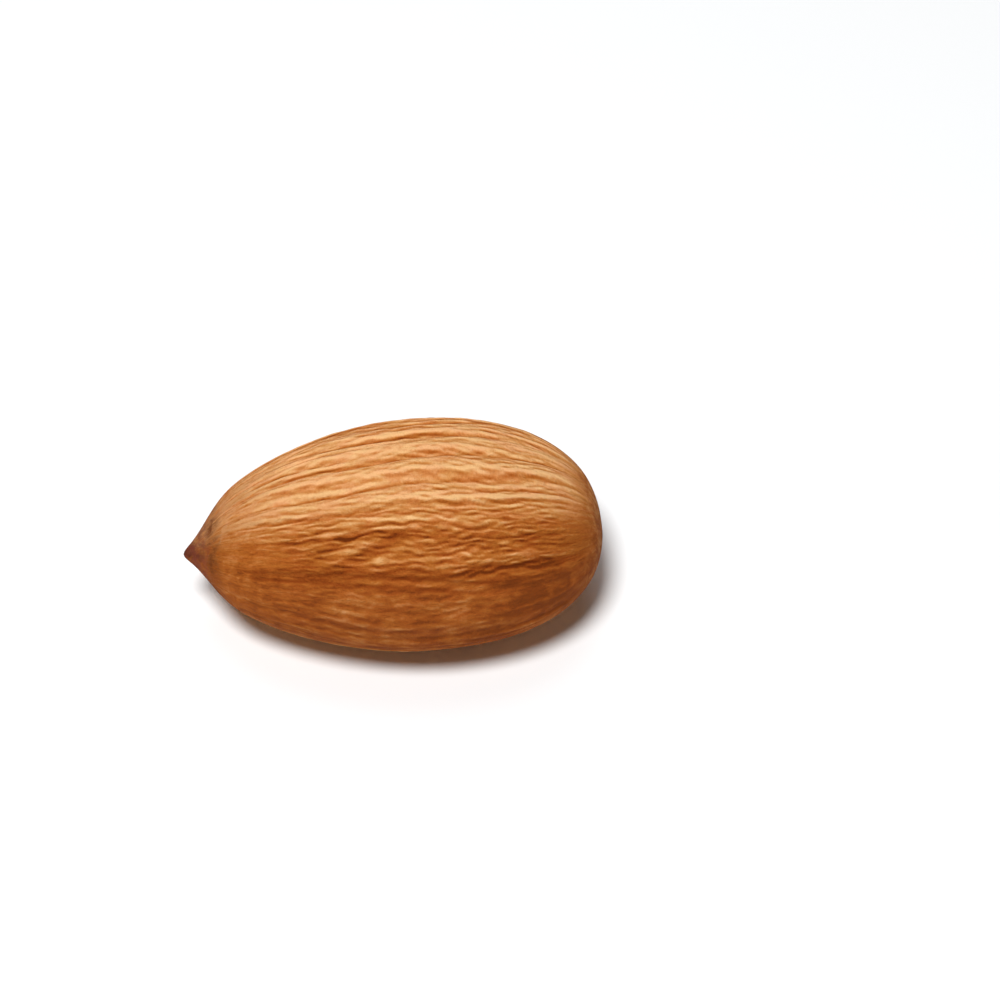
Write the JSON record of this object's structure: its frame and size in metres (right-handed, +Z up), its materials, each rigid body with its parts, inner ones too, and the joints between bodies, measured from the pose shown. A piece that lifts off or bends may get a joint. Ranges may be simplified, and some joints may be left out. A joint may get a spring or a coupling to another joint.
{
  "type": "almond kernel",
  "caption": "Whole shelled almond kernel: plump teardrop with a small pointed tip, a blunt end and lengthwise wrinkled skin, lying on its broad face.",
  "frame": {"origin": "middle of the small flat spot under the kernel, on the surface that it lies on", "axes": "+X from the pointed tip to the blunt end, +Z up out of the upper broad face, Y across the width"},
  "size_m": [0.024, 0.0149, 0.0093],
  "materials": {
    "almond_skin": "dry, powdery matt skin, orange-brown with paler ridges, darker grooves and a reddish-brown tip"
  },
  "bodies": {
    "root": {"almond_kernel": "almond_skin"}
  },
  "joints": []
}
